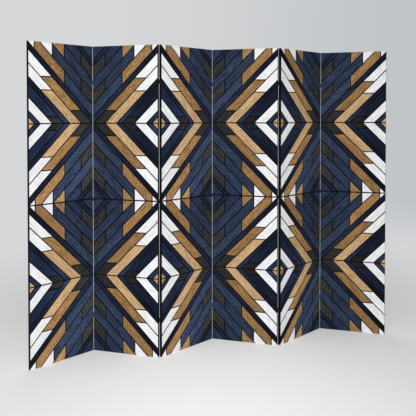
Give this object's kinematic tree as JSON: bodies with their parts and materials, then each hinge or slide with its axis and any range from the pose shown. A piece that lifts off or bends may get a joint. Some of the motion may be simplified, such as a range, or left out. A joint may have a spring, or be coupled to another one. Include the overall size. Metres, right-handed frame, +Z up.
{
  "type": "folding screen",
  "caption": "Free-standing folding room divider of tall cloth-covered wooden panels, joined edge to edge by small butt hinges and standing in a zigzag.",
  "frame": {"origin": "on the floor, under the centre of the box that the zigzag fills, on the middle seam", "axes": "+X along the screen to the viewer's right, -Y to the front, +Z up"},
  "size_m": [2.0604, 0.2076, 1.7],
  "materials": {
    "frame_wood": "planed pine, stained black",
    "printed_canvas": "matte printed canvas, navy, tan, white and charcoal planks in nested diamonds",
    "hinge_navy": "steel lacquered navy, like the print round it",
    "hinge_black": "steel lacquered black"
  },
  "bodies": {
    "panel_1": {"panel_1_left_stile": "frame_wood", "panel_1_right_stile": "frame_wood", "panel_1_top_rail": "frame_wood", "panel_1_bottom_rail": "frame_wood", "panel_1_canvas_cover": "printed_canvas", "seam_1_top_pin_leaf": "hinge_navy", "seam_1_middle_pin_leaf": "hinge_navy", "seam_1_bottom_pin_leaf": "hinge_navy"},
    "panel_2": {"panel_2_left_stile": "frame_wood", "panel_2_right_stile": "frame_wood", "panel_2_top_rail": "frame_wood", "panel_2_bottom_rail": "frame_wood", "panel_2_canvas_cover": "printed_canvas", "seam_2_top_pin_leaf": "hinge_black", "seam_1_top_sleeve_leaf": "hinge_navy", "seam_2_middle_pin_leaf": "hinge_black", "seam_1_middle_sleeve_leaf": "hinge_navy", "seam_2_bottom_pin_leaf": "hinge_black", "seam_1_bottom_sleeve_leaf": "hinge_navy"},
    "panel_3": {"panel_3_left_stile": "frame_wood", "panel_3_right_stile": "frame_wood", "panel_3_top_rail": "frame_wood", "panel_3_bottom_rail": "frame_wood", "panel_3_canvas_cover": "printed_canvas", "seam_3_top_pin_leaf": "hinge_navy", "seam_2_top_sleeve_leaf": "hinge_black", "seam_3_middle_pin_leaf": "hinge_navy", "seam_2_middle_sleeve_leaf": "hinge_black", "seam_3_bottom_pin_leaf": "hinge_navy", "seam_2_bottom_sleeve_leaf": "hinge_black"},
    "panel_4": {"panel_4_left_stile": "frame_wood", "panel_4_right_stile": "frame_wood", "panel_4_top_rail": "frame_wood", "panel_4_bottom_rail": "frame_wood", "panel_4_canvas_cover": "printed_canvas", "seam_4_top_pin_leaf": "hinge_black", "seam_3_top_sleeve_leaf": "hinge_navy", "seam_4_middle_pin_leaf": "hinge_black", "seam_3_middle_sleeve_leaf": "hinge_navy", "seam_4_bottom_pin_leaf": "hinge_black", "seam_3_bottom_sleeve_leaf": "hinge_navy"},
    "panel_5": {"panel_5_left_stile": "frame_wood", "panel_5_right_stile": "frame_wood", "panel_5_top_rail": "frame_wood", "panel_5_bottom_rail": "frame_wood", "panel_5_canvas_cover": "printed_canvas", "seam_5_top_pin_leaf": "hinge_navy", "seam_4_top_sleeve_leaf": "hinge_black", "seam_5_middle_pin_leaf": "hinge_navy", "seam_4_middle_sleeve_leaf": "hinge_black", "seam_5_bottom_pin_leaf": "hinge_navy", "seam_4_bottom_sleeve_leaf": "hinge_black"},
    "panel_6": {"panel_6_left_stile": "frame_wood", "panel_6_right_stile": "frame_wood", "panel_6_top_rail": "frame_wood", "panel_6_bottom_rail": "frame_wood", "panel_6_canvas_cover": "printed_canvas", "seam_5_top_sleeve_leaf": "hinge_navy", "seam_5_middle_sleeve_leaf": "hinge_navy", "seam_5_bottom_sleeve_leaf": "hinge_navy"}
  },
  "joints": [
    {"name": "seam_1_fold", "type": "hinge", "parent": "panel_2", "child": "panel_1", "pos_m": [-0.68757, 0.08827, 0.85], "axis": [0, 0, 1], "range_deg": [-60, 120]},
    {"name": "seam_2_fold", "type": "hinge", "parent": "panel_3", "child": "panel_2", "pos_m": [-0.34379, -0.08827, 0.85], "axis": [0, 0, -1], "range_deg": [-60, 120]},
    {"name": "seam_3_fold", "type": "hinge", "parent": "panel_3", "child": "panel_4", "pos_m": [0, 0.08827, 0.85], "axis": [0, 0, -1], "range_deg": [-60, 120]},
    {"name": "seam_4_fold", "type": "hinge", "parent": "panel_4", "child": "panel_5", "pos_m": [0.34379, -0.08827, 0.85], "axis": [0, 0, 1], "range_deg": [-60, 120]},
    {"name": "seam_5_fold", "type": "hinge", "parent": "panel_5", "child": "panel_6", "pos_m": [0.68757, 0.08827, 0.85], "axis": [0, 0, -1], "range_deg": [-60, 120]}
  ]
}
